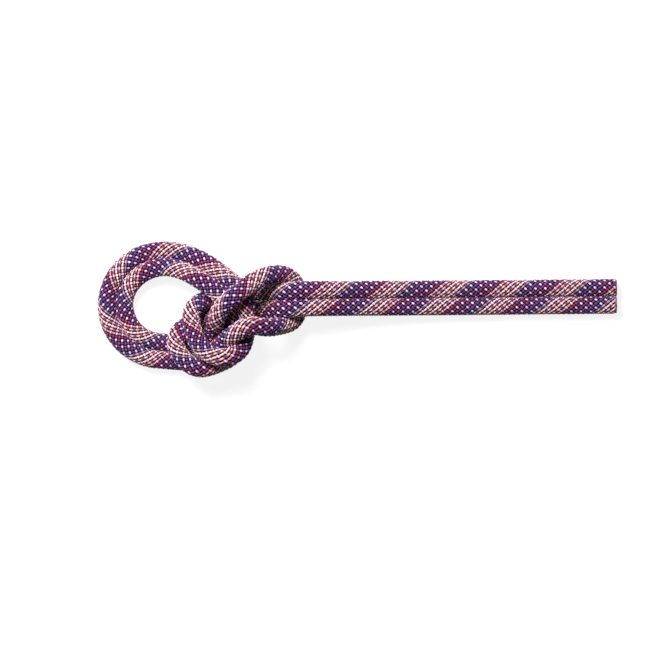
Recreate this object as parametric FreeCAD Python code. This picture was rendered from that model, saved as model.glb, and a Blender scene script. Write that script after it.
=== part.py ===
"""A length of single dynamic climbing rope, tied in a bowline on the bight.

The rope is a kernmantle rope: a braided sheath over twelve core strands and a
thin marker thread, with both cut ends melted into a hard rim. It lies flat with
its double eye towards -X and both standing parts running out towards +X.
Lengths are in millimetres, +Z is up and the floor is z = 0.
"""
import FreeCAD
import Part

import math
import os

# Driving dimensions
ROPE_DIAMETER = 9.8
SHEATH_WALL = 1.0
CORE_CLEARANCE = 0.1
INNER_STRANDS = 3
OUTER_STRANDS = 9
RIM_THICKNESS = 0.8
RIM_DRAW_IN = 0.3
RIM_WIDTH = 1.6
RIM_ROUND = 0.3

# Twelve equal circles, three inside nine, fill a circle this many times the radius of one
TWELVE_CIRCLES = 4.03
# Share of the shorter run that a bend takes up on each side of its point
BEND_SHARE = 0.45

# Sizes that follow from the driving dimensions
ROPE_RADIUS = ROPE_DIAMETER / 2
BORE_RADIUS = ROPE_RADIUS - SHEATH_WALL
SPACING_RADIUS = (BORE_RADIUS - CORE_CLEARANCE / 2) / TWELVE_CIRCLES
STRAND_RADIUS = SPACING_RADIUS - CORE_CLEARANCE / 2
OUTER_RING_RADIUS = BORE_RADIUS - CORE_CLEARANCE - STRAND_RADIUS
INNER_RING_RADIUS = SPACING_RADIUS / math.sin(math.pi / INNER_STRANDS)
RIM_RADIUS = ROPE_RADIUS - RIM_DRAW_IN

# The rope's route from one cut end to the other: x, y and how far the rope is
# lifted off the floor. The names in the comments are the parts of the knot.
ROUTE = [
    # First standing part, in from its cut end and up over the collar
    (140.0, 12.5, 0.0),
    (93.0, 12.0, 0.0),
    (50.5, 11.0, 1.0),
    (17.0, 10.5, 3.5),
    (-8.5, 10.5, 8.5),
    (-26.5, 11.0, 14.0),
    (-38.5, 10.5, 14.0),
    (-48.0, 10.0, 7.5),
    # Down to the floor, under both legs of the collar
    (-57.0, 10.0, 1.5),
    (-68.0, 9.0, 0.5),
    (-79.0, 8.5, 1.5),
    # Inner turn of the nipping loop
    (-85.5, 4.5, 8.0),
    (-89.0, -2.5, 13.5),
    (-89.0, -11.0, 15.5),
    (-86.0, -18.5, 17.0),
    (-80.0, -24.0, 19.5),
    (-71.0, -27.0, 21.5),
    (-62.0, -24.0, 17.5),
    (-57.5, -16.0, 13.0),
    (-54.5, -5.5, 13.0),
    (-57.5, 5.5, 13.5),
    # Outer strand of the double eye
    (-63.5, 14.5, 11.5),
    (-72.5, 21.0, 8.5),
    (-83.0, 26.5, 4.0),
    (-94.0, 31.0, 0.5),
    (-106.5, 33.0, 0.0),
    (-120.0, 29.0, 0.0),
    (-130.5, 19.0, 0.0),
    (-135.0, 6.0, 0.0),
    (-134.0, -6.5, 0.0),
    (-127.0, -18.5, 0.0),
    (-115.0, -26.0, 0.5),
    (-102.0, -28.5, 2.0),
    # Back through the nipping loop
    (-90.0, -29.0, 4.0),
    (-81.0, -27.0, 5.5),
    (-74.5, -20.5, 10.5),
    # Lower leg of the collar
    (-68.5, -14.0, 19.0),
    (-59.0, -10.0, 24.0),
    (-48.0, -10.5, 22.5),
    (-39.0, -11.0, 13.5),
    # The collar's bight, under both standing parts
    (-32.5, -8.0, 4.0),
    (-30.0, 0.5, 0.0),
    (-30.0, 9.5, 0.0),
    (-32.5, 18.0, 3.5),
    # Upper leg of the collar
    (-39.0, 21.5, 12.0),
    (-47.5, 19.5, 19.0),
    (-56.0, 15.0, 22.0),
    (-65.0, 7.0, 23.5),
    (-72.5, 0.5, 21.5),
    (-75.5, -6.0, 14.0),
    (-75.5, -12.5, 3.5),
    # Down through the nipping loop again
    (-81.5, -18.0, 0.0),
    (-91.5, -19.5, 0.0),
    # Inner strand of the double eye
    (-103.0, -18.0, 0.0),
    (-113.0, -15.0, 0.0),
    (-121.0, -8.5, 0.0),
    (-124.5, 2.0, 0.0),
    (-122.0, 12.0, 0.5),
    (-115.0, 19.5, 1.5),
    (-104.5, 23.0, 3.0),
    (-93.5, 22.0, 8.0),
    (-84.0, 17.5, 12.5),
    (-76.0, 11.0, 12.0),
    # Outer turn of the nipping loop
    (-69.0, 4.5, 11.0),
    (-65.0, -3.0, 11.0),
    (-64.0, -11.0, 6.0),
    (-63.0, -19.5, 3.0),
    (-67.0, -29.0, 5.5),
    (-75.0, -33.5, 13.0),
    (-85.0, -33.0, 15.0),
    (-93.0, -27.0, 14.0),
    (-97.0, -19.5, 13.0),
    (-98.5, -12.0, 8.5),
    (-94.0, -5.5, 1.5),
    # Second standing part, under the legs and out over the collar
    (-86.5, -3.5, 0.0),
    (-75.5, -2.0, 0.0),
    (-63.0, -1.0, 0.0),
    (-51.5, -0.5, 2.0),
    (-39.0, 0.5, 10.5),
    (-26.5, 0.5, 13.0),
    (-9.0, 0.0, 8.5),
    (16.5, 0.0, 3.5),
    (50.5, 0.5, 1.0),
    (93.0, 1.5, 0.0),
    (140.0, 2.0, 0.0),
]


def route_points():
    """Centres of the rope, with the underside on the floor where nothing lifts it."""
    return [FreeCAD.Vector(x, y, lift + ROPE_RADIUS) for x, y, lift in ROUTE]


def shortened(points, amount):
    """The same points with both ends drawn back along their runs."""
    start = points[0] + (points[1] - points[0]).normalize() * amount
    end = points[-1] + (points[-2] - points[-1]).normalize() * amount
    return [start] + points[1:-1] + [end]


def bends(points):
    """Start, end, centre, axis, radius and turn of the bend at each inner point."""
    found = []
    for before, corner, after in zip(points, points[1:], points[2:]):
        arriving = corner - before
        leaving = after - corner
        reach = BEND_SHARE * min(arriving.Length, leaving.Length)
        turn = arriving.getAngle(leaving)
        arriving.normalize()
        leaving.normalize()
        radius = reach / math.tan(turn / 2)
        axis = arriving.cross(leaving).normalize()
        start = corner - arriving * reach
        found.append({
            "start": start,
            "end": corner + leaving * reach,
            "centre": start + axis.cross(arriving) * radius,
            "axis": axis,
            "radius": radius,
            "turn": turn,
        })
    return found


def turned(vector, axis, angle):
    """A vector turned about an axis through the origin."""
    return FreeCAD.Rotation(axis, math.degrees(angle)).multVec(vector)


def offset_path(points, sideways, upwards):
    """Wire that keeps one place in the rope's section from end to end.

    The section is carried along without twisting, so each straight run stays
    straight and each bend stays an arc about the same axis.
    """
    first_run = (points[1] - points[0]).normalize()
    side = FreeCAD.Vector(0, 0, 1).cross(first_run).normalize()
    offset = side * sideways + first_run.cross(side) * upwards
    here = points[0] + offset
    edges = []
    for bend in bends(points):
        begin = bend["start"] + offset
        edges.append(Part.LineSegment(here, begin).toShape())
        half = turned(offset, bend["axis"], bend["turn"] / 2)
        offset = turned(offset, bend["axis"], bend["turn"])
        outwards = turned(bend["start"] - bend["centre"], bend["axis"], bend["turn"] / 2)
        middle = bend["centre"] + outwards + half
        here = bend["end"] + offset
        edges.append(Part.Arc(begin, middle, here).toShape())
    edges.append(Part.LineSegment(here, points[-1] + offset).toShape())
    return Part.Wire(edges)


def swept(path, radius):
    """Solid round rod along a wire."""
    first = path.Edges[0]
    start = first.valueAt(first.FirstParameter)
    along = first.tangentAt(first.FirstParameter)
    section = Part.Wire([Part.makeCircle(radius, start, along)])
    return path.makePipeShell([section], True, False)


def sheath(points):
    """Braided cover: a tube along the whole route."""
    path = offset_path(points, 0, 0)
    return swept(path, ROPE_RADIUS).cut(swept(path, BORE_RADIUS))


def strand_places():
    """Where each core strand sits in the section: three inside nine."""
    places = []
    for count, ring in ((INNER_STRANDS, INNER_RING_RADIUS), (OUTER_STRANDS, OUTER_RING_RADIUS)):
        # The outer ring starts half a step round, so each inner strand faces a gap
        first = 0 if ring == INNER_RING_RADIUS else math.pi / count
        for index in range(count):
            angle = first + 2 * math.pi * index / count
            places.append((ring * math.cos(angle), ring * math.sin(angle)))
    return places


def marker_size_and_place():
    """Radius of the marker thread and its distance from the rope's centre.

    It lies in the groove between two outer strands and the sheath, at angle zero.
    """
    half_step = math.pi / OUTER_STRANDS
    along = BORE_RADIUS - CORE_CLEARANCE - OUTER_RING_RADIUS * math.cos(half_step)
    across = OUTER_RING_RADIUS * math.sin(half_step)
    reach = STRAND_RADIUS + CORE_CLEARANCE
    radius = (along ** 2 + across ** 2 - reach ** 2) / (2 * (along + reach))
    return radius, BORE_RADIUS - CORE_CLEARANCE - radius


def melted_rim(end, inwards):
    """Hard ring of melted yarn that seals the sheath to the core at a cut end."""
    ring = Part.makeCylinder(RIM_RADIUS, RIM_THICKNESS, end, inwards)
    hole = Part.makeCylinder(RIM_RADIUS - RIM_WIDTH, RIM_THICKNESS, end, inwards)
    ring = ring.cut(hole)
    outer_edges = [edge for edge in ring.Edges
                   if edge.Length > 2 * math.pi * (RIM_RADIUS - RIM_ROUND)
                   and edge.CenterOfMass.distanceToPoint(end) < RIM_THICKNESS / 2]
    return ring.makeFillet(RIM_ROUND, outer_edges)


def report_route(points):
    """Print the bends and check the rope's volume against its section and length."""
    radii = [bend["radius"] for bend in bends(points)]
    print("bend radii:", ", ".join("%.1f" % radius for radius in radii))
    print("tightest bend %.1f mm, sharpest turn %.0f degrees" % (
        min(radii), max(math.degrees(bend["turn"]) for bend in bends(points))))


def main():
    os.makedirs("parts", exist_ok=True)
    whole = route_points()
    inside_rims = shortened(whole, RIM_THICKNESS)
    report_route(whole)

    nodes = {"sheath": sheath(inside_rims)}
    for number, (sideways, upwards) in enumerate(strand_places(), start=1):
        path = offset_path(inside_rims, sideways, upwards)
        nodes["core_strand_%02d" % number] = swept(path, STRAND_RADIUS)
    marker_radius, marker_place = marker_size_and_place()
    nodes["marker_thread"] = swept(offset_path(inside_rims, marker_place, 0), marker_radius)
    nodes["melted_rim_1"] = melted_rim(whole[0], whole[1] - whole[0])
    nodes["melted_rim_2"] = melted_rim(whole[-1], whole[-2] - whole[-1])

    length = offset_path(inside_rims, 0, 0).Length
    section = math.pi * (ROPE_RADIUS ** 2 - BORE_RADIUS ** 2)
    print("sheath length %.1f mm, volume %.0f mm3, section times length %.0f mm3" % (
        length, nodes["sheath"].Volume, section * length))
    for name, shape in nodes.items():
        print(name, "solids", len(shape.Solids), "valid", shape.isValid(), "volume %.1f" % shape.Volume)
        shape.exportStep("parts/%s.step" % name)


main()
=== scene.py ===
# %% [markdown]
# # A climbing rope tied in a bowline on the bight
#
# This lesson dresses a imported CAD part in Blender. The object is a short length
# of single dynamic climbing rope. It is a kernmantle rope, which means a braided
# sheath over a core of twisted strands. It lies on a table with its double eye to
# the left and both standing parts running out to the right.
# The first step loads the CAD part, which fixes where everything is and how big
# it is. Everything here is in metres.

import math

import bpy
import numpy as np
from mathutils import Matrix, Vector


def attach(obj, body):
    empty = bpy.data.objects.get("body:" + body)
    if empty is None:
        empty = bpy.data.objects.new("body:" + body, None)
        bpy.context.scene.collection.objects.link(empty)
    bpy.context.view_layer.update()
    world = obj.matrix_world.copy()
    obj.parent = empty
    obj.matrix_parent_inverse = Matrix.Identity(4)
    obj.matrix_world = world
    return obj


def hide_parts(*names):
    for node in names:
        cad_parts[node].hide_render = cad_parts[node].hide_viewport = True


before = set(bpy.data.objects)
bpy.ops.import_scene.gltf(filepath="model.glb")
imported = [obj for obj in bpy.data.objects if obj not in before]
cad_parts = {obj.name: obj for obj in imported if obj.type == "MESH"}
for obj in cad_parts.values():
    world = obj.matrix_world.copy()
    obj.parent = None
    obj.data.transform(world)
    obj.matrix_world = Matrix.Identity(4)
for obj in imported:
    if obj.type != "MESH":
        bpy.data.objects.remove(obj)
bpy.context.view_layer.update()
print("CAD nodes:", len(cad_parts))

# %% [markdown]
# ## The camera
#
# The photograph looks straight down at the table. A camera close by would make the
# rope's high crossings look bigger than the parts that lie on the table, and an
# orthographic one would have no perspective at all. A long lens from far above, as
# for a catalogue picture, lies between the two. The lens follows from the width of
# table that the picture shows.

# %% The camera
PICTURE_WIDTH = 0.3591
PICTURE_MIDDLE = (-0.0132, -0.0124)
CAMERA_HEIGHT = 3.0
FARTHEST_SEEN = 20


def add_object(name, data):
    """A new object in the scene with this data."""
    thing = bpy.data.objects.new(name, data)
    bpy.context.scene.collection.objects.link(thing)
    return thing


camera_data = bpy.data.cameras.new("camera_above")
camera_data.lens = camera_data.sensor_width * CAMERA_HEIGHT / PICTURE_WIDTH
camera_data.clip_end = FARTHEST_SEEN
camera = add_object("camera_above", camera_data)
camera.location = (*PICTURE_MIDDLE, CAMERA_HEIGHT)
bpy.context.scene.camera = camera
print("lens in mm:", round(camera_data.lens))

# %% [markdown]
# ## The rope's route
#
# A rope is one long bend, so its route is given by the places it passes through
# and not by its outline. The list follows the rope from the first cut end, into
# the knot, twice round the eye and out again to the second cut end. Each place
# has x, y and how far the rope is lifted off the table there. It starts from the
# CAD part's route, with places moved until the outlines fit the picture.

# %% The rope's route
ROPE_DIAMETER = 0.0098
ROPE_RADIUS = ROPE_DIAMETER / 2

ROUTE = [
    # First standing part, in from its cut end and up over the collar
    (0.1400, 0.0117, 0.0000),
    (0.0930, 0.0113, 0.0000),
    (0.0505, 0.0109, 0.0010),
    (0.0170, 0.0107, 0.0035),
    (-0.0085, 0.0105, 0.0085),
    (-0.0265, 0.0104, 0.0135),
    (-0.0385, 0.0097, 0.0120),
    (-0.0480, 0.0095, 0.0050),
    # Down to the table, under both legs of the collar
    (-0.0570, 0.0096, 0.0008),
    (-0.0684, 0.0084, 0.0005),
    (-0.0783, 0.0060, 0.0015),
    # Inner turn of the nipping loop
    (-0.0860, 0.0033, 0.0080),
    (-0.0896, -0.0025, 0.0135),
    (-0.0884, -0.0108, 0.0157),
    (-0.0856, -0.0180, 0.0176),
    (-0.0797, -0.0240, 0.0208),
    (-0.0709, -0.0266, 0.0228),
    (-0.0630, -0.0230, 0.0163),
    (-0.0600, -0.0157, 0.0113),
    (-0.0590, -0.0055, 0.0130),
    (-0.0600, 0.0055, 0.0135),
    # Outer strand of the double eye
    (-0.0650, 0.0130, 0.0115),
    (-0.0725, 0.0192, 0.0085),
    (-0.0830, 0.0265, 0.0040),
    (-0.0940, 0.0310, 0.0005),
    (-0.1065, 0.0322, 0.0000),
    (-0.1200, 0.0287, 0.0000),
    (-0.1305, 0.0190, 0.0000),
    (-0.1353, 0.0060, 0.0000),
    (-0.1343, -0.0065, 0.0000),
    (-0.1270, -0.0186, 0.0000),
    (-0.1150, -0.0261, 0.0005),
    (-0.1020, -0.0275, 0.0000),
    # Back through the nipping loop
    (-0.0900, -0.0283, 0.0005),
    (-0.0820, -0.0265, 0.0005),
    (-0.0746, -0.0204, 0.0050),
    # Lower leg of the collar
    (-0.0678, -0.0144, 0.0198),
    (-0.0580, -0.0080, 0.0240),
    (-0.0485, -0.0100, 0.0210),
    (-0.0400, -0.0088, 0.0100),
    # The collar's bight, under both standing parts
    (-0.0340, -0.0062, 0.0030),
    (-0.0312, 0.0005, 0.0000),
    (-0.0313, 0.0080, 0.0000),
    (-0.0338, 0.0155, 0.0025),
    # Upper leg of the collar
    (-0.0400, 0.0192, 0.0090),
    (-0.0478, 0.0186, 0.0175),
    (-0.0555, 0.0152, 0.0220),
    (-0.0645, 0.0082, 0.0235),
    (-0.0712, 0.0030, 0.0224),
    (-0.0760, -0.0052, 0.0172),
    (-0.0764, -0.0124, 0.0038),
    # Down through the nipping loop again
    (-0.0833, -0.0168, 0.0000),
    (-0.0920, -0.0190, 0.0000),
    # Inner strand of the double eye
    (-0.1030, -0.0180, 0.0000),
    (-0.1135, -0.0164, 0.0000),
    (-0.1226, -0.0094, 0.0000),
    (-0.1264, 0.0023, 0.0000),
    (-0.1234, 0.0125, 0.0005),
    (-0.1155, 0.0202, 0.0015),
    (-0.1046, 0.0236, 0.0030),
    (-0.0935, 0.0211, 0.0080),
    (-0.0845, 0.0160, 0.0125),
    (-0.0775, 0.0112, 0.0123),
    # Outer turn of the nipping loop
    (-0.0713, 0.0052, 0.0115),
    (-0.0685, -0.0030, 0.0110),
    (-0.0668, -0.0110, 0.0055),
    (-0.0638, -0.0182, 0.0025),
    (-0.0662, -0.0252, 0.0040),
    (-0.0762, -0.0301, 0.0123),
    (-0.0850, -0.0323, 0.0155),
    (-0.0925, -0.0280, 0.0140),
    (-0.0973, -0.0212, 0.0122),
    (-0.0972, -0.0142, 0.0093),
    (-0.0936, -0.0094, 0.0025),
    # Second standing part, under the legs and out over the collar
    (-0.0860, -0.0072, 0.0000),
    (-0.0757, -0.0028, 0.0000),
    (-0.0630, -0.0012, 0.0000),
    (-0.0515, 0.0002, 0.0025),
    (-0.0390, 0.0004, 0.0120),
    (-0.0265, 0.0012, 0.0130),
    (-0.0090, 0.0013, 0.0085),
    (0.0165, 0.0015, 0.0035),
    (0.0505, 0.0017, 0.0010),
    (0.0930, 0.0021, 0.0000),
    (0.1400, 0.0025, 0.0000),
]
print("places on the route:", len(ROUTE))

# %% [markdown]
# ## One smooth line through the route
#
# Straight runs between the places would look like bent wire, and a Bezier curve
# would need two handles for each place. A NURBS spline needs the places alone: it
# treats them as control points, is pulled towards each one and rounds every
# corner, as a springy rope does. Its order of 3 has to be set after the points are
# added, or the spline stays a chain of straight lines. Blender turns the curve
# into points for us, and all the yarns and strands are laid along those points.

# %% One smooth line through the route
POINTS_PER_PLACE = 32


def smooth_line(places):
    """Points along one open NURBS spline with these control points."""
    curve = bpy.data.curves.new("rope_line", "CURVE")
    curve.dimensions = "3D"
    spline = curve.splines.new("NURBS")
    spline.points.add(len(places) - 1)
    for point, (x, y, lift) in zip(spline.points, places):
        point.co = (x, y, lift + ROPE_RADIUS, 1)
    spline.order_u = 3
    spline.use_endpoint_u = True
    spline.resolution_u = POINTS_PER_PLACE
    holder = bpy.data.objects.new("rope_line", curve)
    mesh = bpy.data.meshes.new_from_object(holder)
    points = np.array([vertex.co for vertex in mesh.vertices])
    bpy.data.meshes.remove(mesh)
    bpy.data.curves.remove(curve)
    return points


def distance_along(points):
    """How far along the line each point is."""
    steps = np.linalg.norm(np.diff(points, axis=0), axis=1)
    return np.concatenate([[0], np.cumsum(steps)])


rope_line = smooth_line(ROUTE)
rope_distance = distance_along(rope_line)
ROPE_LENGTH = float(rope_distance[-1])
print("rope length in mm:", round(1000 * ROPE_LENGTH, 1), "from", len(rope_line), "points")

# %% [markdown]
# ## Stations along the rope
#
# A curve modifier could bend a straight braid along the line, but it can't make
# room where two stretches press on each other. So we work with stations, places
# along the line at which every yarn is set out one by one. The braid repeats one
# stitch, over one yarn and under the next, every 2.7 mm, and eight stations to a
# stitch are enough for its waves to look round. The first and last stations lie a
# little inside the cuts, where the melted rings will cover the yarns' ends.
#
# At every station we need to know which way the rope runs, and two directions
# square to that. They are carried from station to station without twisting: each
# time, whatever leans along the rope is taken out of the last direction.

# %% Stations along the rope
# The length of rope in which a yarn goes round once
BRAID_PITCH = 0.0320
YARNS_EACH_WAY = 12
STITCH = BRAID_PITCH / YARNS_EACH_WAY
STATIONS_PER_STITCH = 8
CUT_DEPTH = 0.0006


def unit(vectors):
    """The same directions with a length of one."""
    return vectors / np.linalg.norm(vectors, axis=-1, keepdims=True)


def places_at(distances):
    """Points of the rope's line at these distances from its first end."""
    return np.stack([np.interp(distances, rope_distance, side) for side in rope_line.T], axis=1)


def carried_sideways(along):
    """A direction square to the rope at each station, carried along without twisting."""
    sideways = np.empty_like(along)
    last = np.cross((0, 0, 1), along[0])
    for index, direction in enumerate(along):
        last = last - direction * (last @ direction)
        last = last / math.sqrt(last @ last)
        sideways[index] = last
    return sideways


braided_length = ROPE_LENGTH - 2 * CUT_DEPTH
station_count = round(braided_length / (STITCH / STATIONS_PER_STITCH)) + 1
station_distance = np.linspace(CUT_DEPTH, ROPE_LENGTH - CUT_DEPTH, station_count)
centre = places_at(station_distance)
along = unit(np.gradient(centre, axis=0))
sideways = carried_sideways(along)
upwards = np.cross(along, sideways)
print("stations:", station_count)

# %% [markdown]
# ## Thicker where it bends
#
# Where a rope bends, its yarns bunch up on the inside and it grows a little
# thicker. A tube of one thickness would look like plastic hose there, so each
# station gets a swelling that follows how tight the bend is, up to a limit.

# %% Thicker where it bends
SWELLING_PER_BEND = 0.0009
MOST_SWELLING = 1.035

bend = np.linalg.norm(np.gradient(along, station_distance, axis=0), axis=1)
swelling = np.minimum(1 + SWELLING_PER_BEND * bend, MOST_SWELLING)
print("tightest bend in mm:", round(1000 / bend.max(), 1))

# %% [markdown]
# ## Where the rope presses on itself
#
# A tightened knot squeezes its rope: where two stretches touch, their round
# sections flatten against each other. A physics simulation could find those
# shapes, slowly. We only need to know where the neighbours are. For each station we
# look for other stretches about one diameter away or nearer. Each one gives a
# direction, and the distance to the plane half way between the two lines. What
# would pass that plane is pressed back softly, until the two stretches just meet.

# %% Where the rope presses on itself
MOST_CONTACTS = 4
# Rope this near to a station along the line is its own stretch and no neighbour
OWN_STRETCH = 0.014
# How soft the press is, and how far before the plane it begins
PRESSED_DEPTH = 0.0003
PRESSED_BEFORE = 0.8 * PRESSED_DEPTH
NOTHING_NEAR = 1.0


def find_contacts():
    """At each station, the direction to each neighbour and the distance to the plane between."""
    towards = np.zeros((station_count, MOST_CONTACTS, 3))
    room = np.full((station_count, MOST_CONTACTS), NOTHING_NEAR)
    reach = ROPE_DIAMETER + 2 * PRESSED_DEPTH
    for index in range(station_count):
        apart = np.linalg.norm(centre - centre[index], axis=1)
        apart[np.abs(station_distance - station_distance[index]) < OWN_STRETCH] = NOTHING_NEAR
        before, here, after = apart[:-2], apart[1:-1], apart[2:]
        found = np.flatnonzero((here < reach) & (here <= before) & (here < after)) + 1
        found = found[np.argsort(apart[found])][:MOST_CONTACTS]
        for number, other in enumerate(found):
            towards[index, number] = (centre[other] - centre[index]) / apart[other]
            room[index, number] = apart[other] / 2
    return towards, room


contact_direction, contact_room = find_contacts()
touching = (contact_room < ROPE_RADIUS).any(axis=1)
print("stations that touch another stretch:", int(touching.sum()),
      "nearest lines in mm:", round(2000 * float(contact_room.min()), 2))


def pressed(rings):
    """Rings of points round the stations, softly pressed back from neighbouring stretches."""
    offset = rings - centre[:, None, :]
    for number in range(MOST_CONTACTS):
        direction = contact_direction[:, None, number]
        free = contact_room[:, None, number] - PRESSED_BEFORE
        beyond = np.maximum((offset * direction).sum(axis=2) - free, 0)
        squeezed = PRESSED_DEPTH * (1 - np.exp(-beyond / PRESSED_DEPTH))
        offset = offset - direction * (beyond - squeezed)[:, :, None]
    return centre[:, None, :] + offset


# %% [markdown]
# ## The faces of a tube
#
# Yarns, strands and the lining are all tubes whose section changes on the way. A
# Blender curve with a bevel keeps one section from end to end, so we make our own
# rings of points and join each ring to the next with four-sided faces. An open tube
# gets a cap on both ends. A tube with a wall is joined up: its rings go out along
# the outside and come back along the inside, and the last joins the first. Every
# face corner also gets its place in a map, which is the distance along the rope and
# the turn round the tube.

# %% The faces of a tube
def tube_faces(rings, distances, first_vertex, joined):
    """Four-sided faces of one tube, their corners' places, and its caps with their places."""
    count, sides = rings.shape[:2]
    ring = np.arange(count if joined else count - 1)
    following = (ring + 1) % count
    near = np.arange(sides)[None, :]
    far = (near + 1) % sides
    this_ring = first_vertex + ring[:, None] * sides
    next_ring = first_vertex + following[:, None] * sides
    quads = np.stack(
        [this_ring + near, this_ring + far, next_ring + far, next_ring + near], axis=2)
    distance_map = distances[np.stack([ring, ring, following, following], axis=1)]
    turn_map = np.stack([near, near + 1, near + 1, near], axis=2) / sides
    place = np.stack([
        np.broadcast_to(distance_map[:, None, :], quads.shape),
        np.broadcast_to(turn_map, quads.shape),
    ], axis=3)
    caps = []
    if not joined:
        around = np.arange(sides)
        last_ring = (count - 1) * sides
        for end, corners in ((0, around[::-1]), (-1, last_ring + around)):
            cap_place = np.stack([np.full(sides, distances[end]), around / sides], axis=1)
            caps.append((first_vertex + corners, cap_place))
    return quads.reshape(-1, 4), place.reshape(-1, 2), caps


# %% [markdown]
# ## One object from many tubes
#
# Several yarns make one object, each with its own material. The rope has nearly a
# million faces, and adding them one at a time from Python would be slow, so all the
# points and corners are gathered in lists and handed to the mesh at once. The mesh
# keeps two maps for its materials. One holds the places from the last step, so that
# filaments can follow the yarn round every bend. The other tells how far out a
# stitch stands.

# %% One object from many tubes
def mesh_of_faces(name, points, corners, sizes):
    """A mesh of these points, from all the faces' corners in a row and each face's size."""
    mesh = bpy.data.meshes.new(name)
    mesh.vertices.add(len(points))
    mesh.vertices.foreach_set("co", points.astype(np.float32).ravel())
    mesh.loops.add(len(corners))
    mesh.loops.foreach_set("vertex_index", corners.astype(np.int32))
    mesh.polygons.add(len(sizes))
    mesh.polygons.foreach_set("loop_start", (np.cumsum(sizes) - sizes).astype(np.int32))
    return mesh


def tubes_object(name, tubes, materials, joined=False):
    """One object of tubes, one material each. A tube is its rings, distances and heights."""
    points, corners, sizes, places, slots, smooth, heights = [], [], [], [], [], [], []
    vertex_count = 0
    for slot_number, (rings, distances, height) in enumerate(tubes):
        quads, quad_places, caps = tube_faces(rings, distances, vertex_count, joined)
        points.append(rings.reshape(-1, 3))
        vertex_count += len(points[-1])
        heights.append(np.broadcast_to(height.reshape(len(rings), -1), rings.shape[:2]).ravel())
        corners += [quads.ravel(), *(cap for cap, cap_places in caps)]
        places += [quad_places, *(cap_places for cap, cap_places in caps)]
        sizes += [4] * len(quads) + [len(cap) for cap, cap_places in caps]
        smooth += [True] * len(quads) + [False] * len(caps)
        slots += [slot_number] * (len(quads) + len(caps))
    corners = np.concatenate(corners)
    mesh = mesh_of_faces(name, np.concatenate(points), corners, np.array(sizes))
    mesh.polygons.foreach_set("material_index", slots)
    mesh.polygons.foreach_set("use_smooth", smooth)
    mesh.update(calc_edges=True)
    yarn_map = mesh.uv_layers.new(name="yarn_map")
    yarn_map.uv.foreach_set("vector", np.concatenate(places).astype(np.float32).ravel())
    corner_heights = np.concatenate(heights)[corners].astype(np.float32)
    stitch_map = mesh.uv_layers.new(name="stitch_map")
    stitch_map.uv.foreach_set("vector", np.repeat(corner_heights, 2))
    mesh.validate()
    for material in materials:
        mesh.materials.append(material)
    piece = add_object(name, mesh)
    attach(piece, "root")
    print(name, "has", len(sizes), "faces")
    return piece


# %% [markdown]
# ## Helpers for materials
#
# A material in Blender is a small net of nodes. It can be wired by hand in the
# shader editor. From Python a few helpers keep it readable. The first turns a colour
# as it looks on a screen into the linear values that nodes take. The others start a
# material, add a node with its settings, and add a calculation whose terms are
# numbers or other nodes' results.

# %% Helpers for materials
def srgb(red, green, blue):
    """A colour given as it looks on a screen, from 0 to 255, as Blender's linear values."""
    def linear(value):
        value = value / 255
        return value / 12.92 if value <= 0.04045 else ((value + 0.055) / 1.055) ** 2.4
    return (linear(red), linear(green), linear(blue), 1)


def new_material(name):
    """A new node material, its main shader and its links."""
    material = bpy.data.materials.new(name)
    material.use_nodes = True
    return material, material.node_tree.nodes["Principled BSDF"], material.node_tree.links


def set_inputs(node, values):
    """Set a node's own sockets, named or numbered, to these values."""
    for socket, value in values.items():
        node.inputs[socket].default_value = value


def add_node(material, kind, inputs=None, **settings):
    """A shader node with these settings, and these values on its own sockets."""
    node = material.node_tree.nodes.new(kind)
    for name, value in settings.items():
        setattr(node, name, value)
    set_inputs(node, inputs or {})
    return node


def calculated(material, operation, *terms):
    """The result of a Math node whose terms are numbers or other nodes' results."""
    node = add_node(material, "ShaderNodeMath", operation=operation)
    for socket, term in zip(node.inputs, terms):
        if isinstance(term, (int, float)):
            socket.default_value = term
        else:
            material.node_tree.links.new(term, socket)
    return node.outputs[0]


print("the middle grey of a screen is", round(srgb(128, 128, 128)[0], 3), "as a linear value")

# %% [markdown]
# ## Filaments
#
# Sheath yarn is a bundle of hundreds of fine polyamide filaments, slightly twisted
# together. Modelled one by one they would be far too many, and a picture of yarn
# would show its repeats. A noise texture that is stretched along the yarn gives the
# same fine lines. It gets the distance along the rope, and the turn round the yarn
# as a point on a circle, so that the lines close up. The turn grows a little with
# the distance, and the lines wind round the yarn as its filaments do.

# %% Filaments
# How often the filaments go round, and how far the noise moves on, in a metre of rope
FILAMENT_TWIST = 240
FILAMENT_STRETCH = 110
FILAMENT_SCALE = 4
FILAMENT_DETAIL = 3
FILAMENT_GRAIN = 0.7


def filament_noise(material):
    """Fine light and dark lines that wind along a yarn, from 0 to 1."""
    links = material.node_tree.links
    place = add_node(material, "ShaderNodeUVMap", uv_map="yarn_map")
    split = add_node(material, "ShaderNodeSeparateXYZ")
    links.new(place.outputs["UV"], split.inputs[0])
    distance = split.outputs["X"]
    twisted = calculated(material, "MULTIPLY_ADD", distance, FILAMENT_TWIST, split.outputs["Y"])
    turn = calculated(material, "MULTIPLY", twisted, 2 * math.pi)
    joined = add_node(material, "ShaderNodeCombineXYZ")
    links.new(calculated(material, "COSINE", turn), joined.inputs["X"])
    links.new(calculated(material, "SINE", turn), joined.inputs["Y"])
    stretched = calculated(material, "MULTIPLY", distance, FILAMENT_STRETCH)
    links.new(stretched, joined.inputs["Z"])
    noise = add_node(material, "ShaderNodeTexNoise", {
        "Scale": FILAMENT_SCALE,
        "Detail": FILAMENT_DETAIL,
        "Roughness": FILAMENT_GRAIN,
    })
    links.new(joined.outputs[0], noise.inputs["Vector"])
    return noise.outputs["Fac"]


print("a filament goes round its yarn every", round(1000 / FILAMENT_TWIST, 1), "mm")
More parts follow.
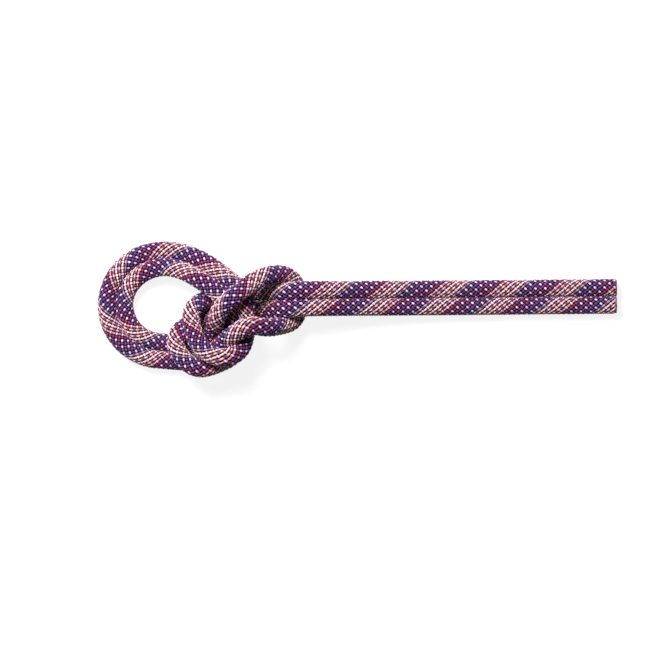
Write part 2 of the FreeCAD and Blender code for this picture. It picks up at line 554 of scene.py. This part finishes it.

# %% [markdown]
# ## Polyamide yarn
#
# Yarn is lightest on the crown of a stitch and darker where it dives under the
# next, because little light gets in there. One flat colour would leave all that to
# the lamp, so here that shade is painted into the colour: a colour ramp goes from
# the crown's colour to a painted shade by how far out the stitch stands, and the
# filaments push that change a little back and forth. No two stitches are quite
# equally bright, and the surface is matt with a faint soft sheen.

# %% Polyamide yarn
FILAMENT_CONTRAST = 0.5
YARN_GLOSS = 0.12
YARN_SHEEN = 0.03
SHEEN_ROUGHNESS = 0.4
FILAMENT_BUMP = 0.35
FILAMENT_HEIGHT = 0.00006
# Patches of noise in a metre, their usual values, and the brightness these stand for
PATCHES_PER_METRE = 450
PATCH_DETAIL = 1
PATCH_NOISE = (0.3, 0.7)
PATCH_BRIGHTNESS = (0.70, 1.10)


def crown_and_painted_shade(material, filaments, crown, painted_valley_shade, crown_from):
    """The colour between a stitch's crown and the painted shade of its valley, by how far out the
    yarn stands.
    """
    links = material.node_tree.links
    stitch = add_node(material, "ShaderNodeUVMap", uv_map="stitch_map")
    height = add_node(material, "ShaderNodeSeparateXYZ")
    links.new(stitch.outputs["UV"], height.inputs[0])
    shifted = calculated(
        material, "MULTIPLY_ADD", filaments, FILAMENT_CONTRAST, height.outputs["X"])
    # The sum goes past 1, so it is brought back to about 0 to 1 for the ramp
    evened = calculated(material, "MULTIPLY", shifted, 1 / (1 + FILAMENT_CONTRAST / 2))
    # The ramp runs from painted shade in the valley to the yarn's own colour on the crown
    tint = add_node(material, "ShaderNodeValToRGB")
    tint.color_ramp.interpolation = "EASE"
    first, last = tint.color_ramp.elements
    first.position = crown_from
    first.color = painted_valley_shade
    last.position = 1.0
    last.color = crown
    links.new(evened, tint.inputs["Fac"])
    return tint.outputs["Color"]


def uneven_brightness(material, colour):
    """The same colour, a little darker or lighter from stitch to stitch."""
    links = material.node_tree.links
    where = add_node(material, "ShaderNodeTexCoord")
    patches = add_node(material, "ShaderNodeTexNoise", {
        "Scale": PATCHES_PER_METRE,
        "Detail": PATCH_DETAIL,
    })
    links.new(where.outputs["Object"], patches.inputs["Vector"])
    brightness = add_node(material, "ShaderNodeMapRange", {
        "From Min": PATCH_NOISE[0],
        "From Max": PATCH_NOISE[1],
        "To Min": PATCH_BRIGHTNESS[0],
        "To Max": PATCH_BRIGHTNESS[1],
    })
    links.new(patches.outputs["Fac"], brightness.inputs["Value"])
    shaded = add_node(material, "ShaderNodeHueSaturation")
    links.new(brightness.outputs["Result"], shaded.inputs["Value"])
    links.new(colour, shaded.inputs["Color"])
    return shaded.outputs["Color"]


def yarn_material(name, crown, painted_valley_shade, crown_from=0.5, roughness=0.5):
    """Dyed filaments, with their own colour where a stitch stands out and painted shade where it
    dives.
    """
    material, shader, links = new_material(name)
    set_inputs(shader, {
        "Roughness": roughness,
        "Specular IOR Level": YARN_GLOSS,
        "Sheen Weight": YARN_SHEEN,
        "Sheen Roughness": SHEEN_ROUGHNESS,
    })
    filaments = filament_noise(material)
    colour = crown_and_painted_shade(material, filaments, crown, painted_valley_shade, crown_from)
    links.new(uneven_brightness(material, colour), shader.inputs["Base Color"])
    bump = add_node(material, "ShaderNodeBump", {
        "Strength": FILAMENT_BUMP,
        "Distance": FILAMENT_HEIGHT,
    })
    links.new(filaments, bump.inputs["Height"])
    links.new(bump.outputs["Normal"], shader.inputs["Normal"])
    return material


print("patches of one brightness are", round(1000 / PATCHES_PER_METRE, 1), "mm across")

# %% [markdown]
# ## The sheath's colours
#
# The rope is braided from 24 bobbins, twelve going round each way. Each bobbin
# holds one colour, so a colour winds along the rope as a spiral. Of the yarns that
# rise to the right, six warm ones side by side make the peach bands that slant
# across the rope, and the other six the dark bands. Of the yarns that fall to the
# right every second one is pale, which dots the whole rope with light stitches.
# Bands painted on a tube would be quicker, but with the right bobbins in the right
# order they come out of the braid by themselves, as on the real machine.

# %% The sheath's colours
# Which way a yarn turns as it runs along the rope, as a sign
RISING = 1
FALLING = -1

# Each colour on the crown of a stitch, the painted shade where the yarn dives under the
# next, and how far out the yarn has to stand for the crown's colour to begin, from 0 to 1
YARN_COLOURS = {
    "peach": ((250, 210, 204), (166, 100, 98), 0.12),
    "rose_tan": ((238, 184, 180), (138, 70, 74), 0.12),
    "salmon": ((226, 144, 152), (130, 46, 62), 0.12),
    "dusty_lilac": ((190, 154, 178), (84, 50, 80), 0.12),
    "navy": ((72, 68, 130), (12, 4, 36), 0.30),
    "indigo": ((94, 64, 138), (16, 3, 36), 0.30),
    "violet": ((120, 62, 136), (24, 2, 30), 0.30),
    "plum": ((118, 48, 114), (22, 2, 24), 0.30),
    "wine": ((140, 46, 96), (38, 4, 20), 0.30),
    "lilac": ((232, 208, 250), (60, 24, 64), 0.48),
    "pale_pink": ((252, 214, 236), (80, 26, 50), 0.48),
    "mauve": ((118, 72, 124), (30, 6, 30), 0.40),
    "heather": ((132, 72, 112), (34, 6, 22), 0.40),
}
yarn_materials = {
    name: yarn_material("yarn_" + name, srgb(*crown), srgb(*painted_valley_shade), crown_from)
    for name, (crown, painted_valley_shade, crown_from) in YARN_COLOURS.items()
}

# The bobbins' colours in order round the rope
BOBBINS = {
    RISING: [
        "rose_tan", "peach", "rose_tan", "peach", "dusty_lilac", "navy",
        "indigo", "violet", "plum", "plum", "wine", "salmon",
    ],
    FALLING: ["pale_pink", "heather", "lilac", "mauve"] * 3,
}
print("yarn colours:", ", ".join(YARN_COLOURS))

# %% [markdown]
# ## How the knot turns the braid
#
# Tying a knot rolls the rope about its own line and pushes the braid along it, so
# the bands don't follow each other at one even pace. No simulation would give the
# turns of this very knot. They are set at places along the rope, until the
# bands lie as in the photograph, and then smoothed so that no yarn has a kink.

# %% How the knot turns the braid
# Distance along the rope in metres, and how far the braid has been turned about the
# rope's line and pushed along it there, in degrees, with 360 for a whole turn or pitch
BRAID_DRIFT = [
    # First standing part
    (0.000, 20, 20), (0.060, 15, 20), (0.120, 5, 15),
    (0.145, 0, 0), (0.165, 10, -5), (0.195, 15, 10),
    # Inner turn of the nipping loop
    (0.240, -5, 40), (0.265, -35, 35), (0.300, -55, 20),
    # Outer strand of the eye
    (0.340, -95, 10), (0.375, -95, 10), (0.400, -95, 30), (0.430, -100, 60), (0.455, -100, 85),
    # Collar
    (0.480, -115, 105), (0.515, -105, 100), (0.550, -125, 85), (0.575, -140, 60),
    (0.600, -135, 85), (0.625, -165, 120), (0.650, -180, 115),
    # Inner strand of the eye
    (0.675, -175, 90), (0.695, -175, 120), (0.720, -175, 140),
    (0.755, -190, 145), (0.790, -180, 170),
    # Outer turn of the nipping loop
    (0.840, -160, 120), (0.865, -165, 125), (0.880, -155, 140),
    # Second standing part
    (0.935, -170, 140), (0.960, -165, 135), (0.990, -160, 115),
    (1.050, -160, 110), (1.120, -145, 110),
]
SMOOTHED_OVER = 0.010
drift_distance, drift_turn, drift_push = np.array(BRAID_DRIFT).T


def drift(degrees):
    """The drift at every station, in radians, with its corners rounded."""
    values = np.interp(station_distance, drift_distance, degrees)
    half = round(SMOOTHED_OVER / (station_distance[1] - station_distance[0]) / 2)
    window = np.hanning(2 * half + 3)[1:-1]
    padded = np.pad(values, half, mode="edge")
    return np.radians(np.convolve(padded, window / window.sum(), mode="valid"))


rope_turn = drift(drift_turn)
pitch_angle = 2 * math.pi * station_distance / BRAID_PITCH + drift(drift_push)
largest_turn = math.degrees(np.abs(rope_turn).max())
print("the braid is turned by up to", round(largest_turn), "degrees")

# %% [markdown]
# ## One yarn of the braid
#
# Each yarn is a spiral whose distance from the rope's middle goes up and down like
# a wave. All the yarns that turn one way are out at the same stations, and those
# that turn the other way are in there, so every crossing has one over and one
# under. A bump on a smooth tube would look like that from straight above, but its
# outline would be smooth. The section is a flat oval. Where the rope bends sharply
# the yarns crowd on the inside and spread on the outside, so their width follows.
# Close to a cut the wave dies out and the braid narrows into the melted ring.

# %% One yarn of the braid
SHEATH_MIDDLE = 0.00434
YARN_SWING = 0.00028
YARN_SIDES = 8
# The widest that a yarn spreads, and the least that it moves along on the inside of a bend
WIDEST = 1.12
LEAST_STRETCH = 0.15
# Half width, half thickness, and how much wider and thicker each grows where it is out
YARN_SHAPES = {
    RISING: (0.00047, 0.00030, 0.08, 0.10),
    FALLING: (0.00047, 0.00028, 0.20, 0.10),
}
BOBBIN_SPACING = 2 * math.pi / YARNS_EACH_WAY
BRAID_SLOPE = 2 * math.pi * SHEATH_MIDDLE / BRAID_PITCH
# Where the first bobbins of both ways cross: how far into a pitch, and how far round
BRAID_START = math.radians(349)
FIRST_ROW = math.radians(87)
# The length over which the braid narrows at a cut, and what is left of its radius there
END_STRETCH = 0.0016
END_RADIUS = 0.93

stitch_wave = np.cos(YARNS_EACH_WAY * (pitch_angle - BRAID_START))
from_end = np.minimum(station_distance - station_distance[0],
                      station_distance[-1] - station_distance)
free_of_end = np.sin(np.minimum(from_end / END_STRETCH, 1) * math.pi / 2)
braid_radius = SHEATH_MIDDLE * swelling * (END_RADIUS + (1 - END_RADIUS) * free_of_end)


def full_turn(steps):
    """Angles of this many even steps round a circle."""
    return 2 * math.pi * np.arange(steps) / steps


def yarn_rings(way, number):
    """Rings of the yarn from this bobbin, rising or falling."""
    angle = FIRST_ROW + way * (BRAID_START - pitch_angle - BOBBIN_SPACING * number) + rope_turn
    out = way * stitch_wave
    radius = braid_radius + YARN_SWING * out * free_of_end
    outwards = np.cos(angle)[:, None] * sideways + np.sin(angle)[:, None] * upwards
    path = centre + radius[:, None] * outwards
    change = np.gradient(path, station_distance, axis=0)
    across = unit(np.cross(unit(change), outwards))
    stretch = np.maximum((change * along).sum(axis=1), LEAST_STRETCH)
    crowding = stretch * math.hypot(1, BRAID_SLOPE) / np.hypot(stretch, BRAID_SLOPE)
    half_width, half_thickness, wider, thicker = YARN_SHAPES[way]
    half_width = half_width * np.minimum(crowding, WIDEST) * (1 + wider * out)
    half_thickness = half_thickness * (1 + thicker * out)
    turn = full_turn(YARN_SIDES)
    rings = (path[:, None, :]
             + (half_thickness[:, None] * np.cos(turn))[:, :, None] * outwards[:, None, :]
             + (half_width[:, None] * np.sin(turn))[:, :, None] * across[:, None, :])
    return pressed(rings)


print("each yarn has", station_count, "rings")

# %% [markdown]
# ## The sheath's pieces
#
# On the real rope the yarns are one sheath that can't be taken apart without
# unbraiding it. One object of 24 yarns would be heavy to look at and to edit, and
# 24 objects would be a long list, so three bobbins of like colour share a piece.
# These pieces and the lining, which comes next, replace the CAD part's plain tube.

# %% The sheath's pieces
YARN_PIECES = {
    "rising_yarns_rose": (RISING, (11, 0, 2)),
    "rising_yarns_peach": (RISING, (1, 3, 4)),
    "rising_yarns_navy": (RISING, (5, 6, 7)),
    "rising_yarns_plum": (RISING, (8, 9, 10)),
    "falling_yarns_pink": (FALLING, (0, 4, 8)),
    "falling_yarns_lilac": (FALLING, (2, 6, 10)),
    "falling_yarns_heather": (FALLING, (1, 5, 9)),
    "falling_yarns_mauve": (FALLING, (3, 7, 11)),
}
for piece_name, (way, numbers) in YARN_PIECES.items():
    height = (1 + way * stitch_wave) / 2
    tubes = [(yarn_rings(way, number), station_distance, height) for number in numbers]
    materials = [yarn_materials[BOBBINS[way][number]] for number in numbers]
    piece = tubes_object(piece_name, tubes, materials)
    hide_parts("sheath")

# %% [markdown]
# ## The sheath's lining
#
# Under the yarns that show, their hidden undersides lie packed together against
# the core. Modelled as they are, they would double the mesh for something nobody
# sees. A thin tube stands for them, coloured near black as painted shade, so that
# the small gaps between stitches look deep and dark, as they do in a tight sheath.
# It has a wall, because the core has to show at the cut ends.

# %% The sheath's lining
LINING_RADIUS = 0.00400
LINING_WALL = 0.00010
LINING_SIDES = 24
LINING_STEP = 2


def section_rings(outline):
    """An outline at every station, where outline[station, side] gives sideways and upwards."""
    return (centre[:, None, :]
            + outline[:, :, :1] * sideways[:, None, :]
            + outline[:, :, 1:] * upwards[:, None, :])


def lining_side(radius):
    """Rings of the lining's outside or inside, swollen and pressed as the rope is."""
    turn = full_turn(LINING_SIDES)
    circle = np.stack([np.cos(turn), np.sin(turn)], axis=1)
    outline = radius * swelling[:, None, None] * circle[None, :, :]
    return pressed(section_rings(outline))[::LINING_STEP]


# Near black all over: painted shade for the deep gaps between stitches
lining_shade_material = yarn_material(
    "painted_shade_lining", srgb(20, 4, 14), srgb(10, 2, 8), roughness=0.8)
lining_outside = lining_side(LINING_RADIUS)
lining_inside = lining_side(LINING_RADIUS - LINING_WALL)
lining_rings = np.concatenate([lining_outside, lining_inside[::-1]])
one_way = station_distance[::LINING_STEP]
lining_distance = np.concatenate([one_way, one_way[::-1]])
lining_tube = (lining_rings, lining_distance, np.zeros(len(lining_distance)))
lining = tubes_object("painted_shade_lining", [lining_tube], [lining_shade_material], joined=True)
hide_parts("sheath")

# %% [markdown]
# ## A strand of the core
#
# The core carries the load. Each of its strands is three plies of yarn twisted
# together. Three tubes wound round each other would be the full way to make one,
# and nobody would see the difference behind the sheath. So a strand is one tube
# whose section has three lobes that turn along it. Only its ends show, so only they
# need closely spaced rings. A hot blade cut the rope, which left the tip of each
# strand a little domed.

# %% A strand of the core
STRAND_SIDES = 18
LOBE_DEPTH = 0.13
CLOSE_RINGS = 0.012
HIDDEN_STEP = 4
# How far out each ring of a tip is, and its size against the strand's
TIP_RINGS = [(0.00007, 0.96), (0.00013, 0.84), (0.00018, 0.62), (0.00021, 0.34), (0.00022, 0.10)]

every_fourth = np.arange(station_count) % HIDDEN_STEP == 0
strand_stations = np.flatnonzero((from_end < CLOSE_RINGS) | every_fourth)


def tip(ring, outward):
    """Ever smaller rings that close a strand's end with a small dome."""
    middle = ring.mean(axis=0)
    return np.array([middle + scale * (ring - middle) + out * outward for out, scale in TIP_RINGS])


def twisted_strand(place, radius, plies, pitch, start):
    """A strand of twisted plies that keeps its place in the rope's section."""
    twist = 2 * math.pi * station_distance / pitch + start
    turn = full_turn(STRAND_SIDES)
    lobe = np.abs(np.cos(plies * (turn[None, :] - twist[:, None]) / 2))
    reach = radius * (1 - LOBE_DEPTH * (1 - lobe))
    outline = np.stack(
        [place[0] + reach * np.cos(turn), place[1] + reach * np.sin(turn)], axis=2)
    rings = pressed(section_rings(outline))[strand_stations]
    rings = np.concatenate([tip(rings[0], -along[0])[::-1], rings, tip(rings[-1], along[-1])])
    more = (len(TIP_RINGS), len(TIP_RINGS))
    distances = np.pad(station_distance[strand_stations], more, mode="edge")
    height = np.pad(lobe[strand_stations], (more, (0, 0)), mode="edge")
    return rings, distances, height


print("rings on a strand:", len(strand_stations) + 2 * len(TIP_RINGS))

# %% [markdown]
# ## The core
#
# Twelve strands of undyed white yarn fill the sheath, three inside nine. Each one is
# a piece that stands for its own CAD node. They start at different points of their
# twist, because strands that are all alike would look like copies.

# %% The core
STRAND_RADIUS = 0.000905
STRAND_PLIES = 3
STRAND_TWIST_PITCH = 0.0115
TWIST_BETWEEN_STRANDS = 1.7
# Strands in a ring, its distance from the rope's middle, and where its first strand is
INNER_RING = (3, 0.00110, 0.0)
OUTER_RING = (9, 0.00289, math.radians(20))

# Its second colour is painted shade in the grooves between the plies
core_material = yarn_material(
    "core_yarn", srgb(246, 243, 236), srgb(196, 190, 180), roughness=0.6)
core_pieces = []
for count, ring_radius, first in (INNER_RING, OUTER_RING):
    for index in range(count):
        angle = first + 2 * math.pi * index / count
        place = (ring_radius * math.cos(angle), ring_radius * math.sin(angle))
        number = len(core_pieces) + 1
        start = TWIST_BETWEEN_STRANDS * number
        strand = twisted_strand(place, STRAND_RADIUS, STRAND_PLIES, STRAND_TWIST_PITCH, start)
        piece = tubes_object("core_%02d" % number, [strand], [core_material])
        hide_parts("core_strand_%02d" % number)
        core_pieces.append(piece)

# %% [markdown]
# ## The marker thread
#
# A thin coloured thread of two plies runs in the groove between two outer strands
# and the sheath. On a real rope its colour tells the year it was made. It is made
# as the strands are, because it is the same kind of thing, only thinner.

# %% The marker thread
MARKER_RADIUS = 0.00027
MARKER_PLACE = (0.00353, 0.0)
MARKER_PLIES = 2
MARKER_TWIST_PITCH = 0.003

# Its second colour is painted shade in the grooves between its plies
marker_material = yarn_material("marker_yarn", srgb(226, 190, 60), srgb(150, 118, 30))
marker_tube = twisted_strand(
    MARKER_PLACE, MARKER_RADIUS, MARKER_PLIES, MARKER_TWIST_PITCH, start=0.0)
marker = tubes_object("marker", [marker_tube], [marker_material])
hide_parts("marker_thread")

# %% [markdown]
# ## Melted yarn
#
# Where a hot blade cut the sheath, its yarns melted and set again as hard, smooth
# plastic, with their colours run together in patches. Vertex colours would do, but
# noise needs no extra points. One noise texture sets the colour, how dull each
# patch is and the small bumps, so that the three belong together.

# %% Melted yarn
MELTED_GLOSS = 0.5
MELTED_PATCHES = 900
MELTED_DETAIL = 4
MELTED_SWIRL = 0.6
MELTED_DULLNESS = (0.22, 0.55)
MELTED_BUMP = 0.4
MELTED_HEIGHT = 0.00008
# Where in the noise each colour lies, from 0 to 1
MELTED_COLOURS = [(0.36, (34, 14, 30)), (0.52, (84, 40, 62)), (0.68, (170, 112, 112))]


def melted_yarn():
    """Hard, smooth plastic in the sheath's colours run together."""
    material, shader, links = new_material("melted_yarn")
    set_inputs(shader, {"Specular IOR Level": MELTED_GLOSS})
    place = add_node(material, "ShaderNodeTexCoord")
    patches = add_node(material, "ShaderNodeTexNoise", {
        "Scale": MELTED_PATCHES,
        "Detail": MELTED_DETAIL,
        "Distortion": MELTED_SWIRL,
    })
    links.new(place.outputs["Object"], patches.inputs["Vector"])
    tint = add_node(material, "ShaderNodeValToRGB")
    ramp = tint.color_ramp
    low, middle, high = MELTED_COLOURS
    for element, (position, colour) in zip(ramp.elements, (low, high)):
        element.position = position
        element.color = srgb(*colour)
    ramp.elements.new(middle[0]).color = srgb(*middle[1])
    links.new(patches.outputs["Fac"], tint.inputs["Fac"])
    links.new(tint.outputs["Color"], shader.inputs["Base Color"])
    dull = add_node(material, "ShaderNodeMapRange", {
        "To Min": MELTED_DULLNESS[0],
        "To Max": MELTED_DULLNESS[1],
    })
    links.new(patches.outputs["Fac"], dull.inputs["Value"])
    links.new(dull.outputs["Result"], shader.inputs["Roughness"])
    bump = add_node(material, "ShaderNodeBump", {
        "Strength": MELTED_BUMP,
        "Distance": MELTED_HEIGHT,
    })
    links.new(patches.outputs["Fac"], bump.inputs["Height"])
    links.new(bump.outputs["Normal"], shader.inputs["Normal"])
    return material


melted_material = melted_yarn()
print("melted yarn has", len(MELTED_COLOURS), "colours")

# %% [markdown]
# ## The melted ends
#
# The melted yarn is a hard, slightly lumpy ring round each cut, which keeps the
# braid from opening. Blender's own torus has a round section and is too even. This
# ring is a flat section with rounded corners, carried round the rope, and a few
# waves of different lengths make it uneven.

# %% The melted ends
RIM_RADIUS = 0.0046
RIM_WIDTH = 0.0016
RIM_THICKNESS = 0.0008
RIM_ROUNDING = 0.00028
RIM_MIDDLE = RIM_RADIUS - RIM_WIDTH / 2
RIM_STEPS = 144
# Waves in one turn, their size against each other, and how much the phase moves them
LUMP_WAVES = [(5, 1.0, 1), (11, 0.8, 2), (24, 0.7, 0)]
LUMP_HEIGHT = 0.00007
FACE_WAVES = 7
# Which way each corner of the section lies: outwards or inwards, deeper or shallower
SECTION_CORNERS = [(1, 1), (-1, 1), (-1, -1), (1, -1)]
CORNER_ANGLES = (0, 30, 60, 90)


def rim_section():
    """The ring's section: distance from the rope's line, and depth below the cut."""
    corner_out = RIM_WIDTH / 2 - RIM_ROUNDING
    corner_deep = RIM_THICKNESS / 2 - RIM_ROUNDING
    points = []
    for quarter, (outer, deeper) in enumerate(SECTION_CORNERS):
        for degrees in CORNER_ANGLES:
            angle = math.radians(90 * quarter + degrees)
            points.append((
                RIM_MIDDLE + outer * corner_out + RIM_ROUNDING * math.cos(angle),
                RIM_THICKNESS / 2 + deeper * corner_deep + RIM_ROUNDING * math.sin(angle),
            ))
    return np.array(points)


def melted_rim(name, end, inwards, phase):
    """A ring of melted yarn round one cut end."""
    angle = full_turn(RIM_STEPS)
    section = rim_section()
    waves = sum(size * np.sin(count * angle + share * phase) for count, size, share in LUMP_WAVES)
    lumps = LUMP_HEIGHT * waves / sum(size for count, size, share in LUMP_WAVES)
    on_outside = section[None, :, 0] > RIM_MIDDLE
    reach = section[None, :, 0] - LUMP_HEIGHT + lumps[:, None] * on_outside
    face = LUMP_HEIGHT * np.sin(FACE_WAVES * angle + phase)[:, None] / 2
    depth = np.clip(section[None, :, 1] + face, 0.0, RIM_THICKNESS)
    outwards = np.cos(angle)[:, None] * sideways[end] + np.sin(angle)[:, None] * upwards[end]
    cut = places_at(np.array([0.0, ROPE_LENGTH]))[end]
    rings = cut + reach[:, :, None] * outwards[:, None, :] + depth[:, :, None] * inwards
    tube = (rings, angle * RIM_RADIUS, np.ones(RIM_STEPS))
    rim = tubes_object(name, [tube], [melted_material], joined=True)
    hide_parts("melted_" + name)
    return rim


rims = [
    melted_rim("rim_1", 0, along[0], phase=0.4),
    melted_rim("rim_2", -1, -along[-1], phase=2.1),
]

# %% [markdown]
# ## The table
#
# The rope lies on a plain white table. A white board under the lamp would throw
# much light back up into the knot and still look grey in the picture. So the table
# is grey to the lamp, and where the camera or a shiny surface looks at it, light of
# its own makes it white. It still shows the rope's shadow.

# %% The table
TABLE_SIZE = 6.0
TABLE_GREY = 0.22
TABLE_ROUGHNESS = 0.9
TABLE_GLOW = 0.86

half_table = TABLE_SIZE / 2
table_mesh = bpy.data.meshes.new("table")
table_mesh.from_pydata(
    [(-half_table, -half_table, 0), (half_table, -half_table, 0),
     (half_table, half_table, 0), (-half_table, half_table, 0)],
    [], [(0, 1, 2, 3)])
table = add_object("table", table_mesh)

table_material, table_shader, table_links = new_material("white_table")
set_inputs(table_shader, {
    "Base Color": (TABLE_GREY, TABLE_GREY, TABLE_GREY, 1),
    "Roughness": TABLE_ROUGHNESS,
    "Specular IOR Level": 0.0,
    "Emission Color": (1, 1, 1, 1),
})
light_path = add_node(table_material, "ShaderNodeLightPath").outputs
seen = calculated(
    table_material, "MAXIMUM", light_path["Is Camera Ray"], light_path["Is Glossy Ray"])
seen = calculated(table_material, "MAXIMUM", seen, light_path["Is Transmission Ray"])
glow = calculated(table_material, "MULTIPLY", seen, TABLE_GLOW)
table_links.new(glow, table_shader.inputs["Emission Strength"])
table_mesh.materials.append(table_material)
print("table is", TABLE_SIZE, "m square")

# %% [markdown]
# ## The light
#
# Catalogue pictures are lit softly. A sun lamp would draw hard shadows, and light
# from all sides would leave the knot flat. One large square lamp stands to the
# upper left, which gives every stitch a light and a dark side, and a weak white
# world fills in the shadows.

# %% The light
WORLD_STRENGTH = 0.12
LAMP_PLACE = (-0.55, 0.8, 1.2)
LAMP_SIZE = 0.7
LAMP_POWER = 44

world = bpy.data.worlds.new("studio")
world.use_nodes = True
set_inputs(world.node_tree.nodes["Background"], {
    "Color": (1, 1, 1, 1),
    "Strength": WORLD_STRENGTH,
})
bpy.context.scene.world = world

lamp_data = bpy.data.lights.new("main_lamp", "AREA")
lamp_data.size = LAMP_SIZE
lamp_data.energy = LAMP_POWER
lamp = add_object("main_lamp", lamp_data)
lamp.location = LAMP_PLACE
lamp.rotation_euler = (-Vector(LAMP_PLACE)).to_track_quat("-Z", "Y").to_euler()
bpy.context.scene.view_settings.view_transform = "Standard"
print("lamp is", round(Vector(LAMP_PLACE).length, 2), "m from the rope")
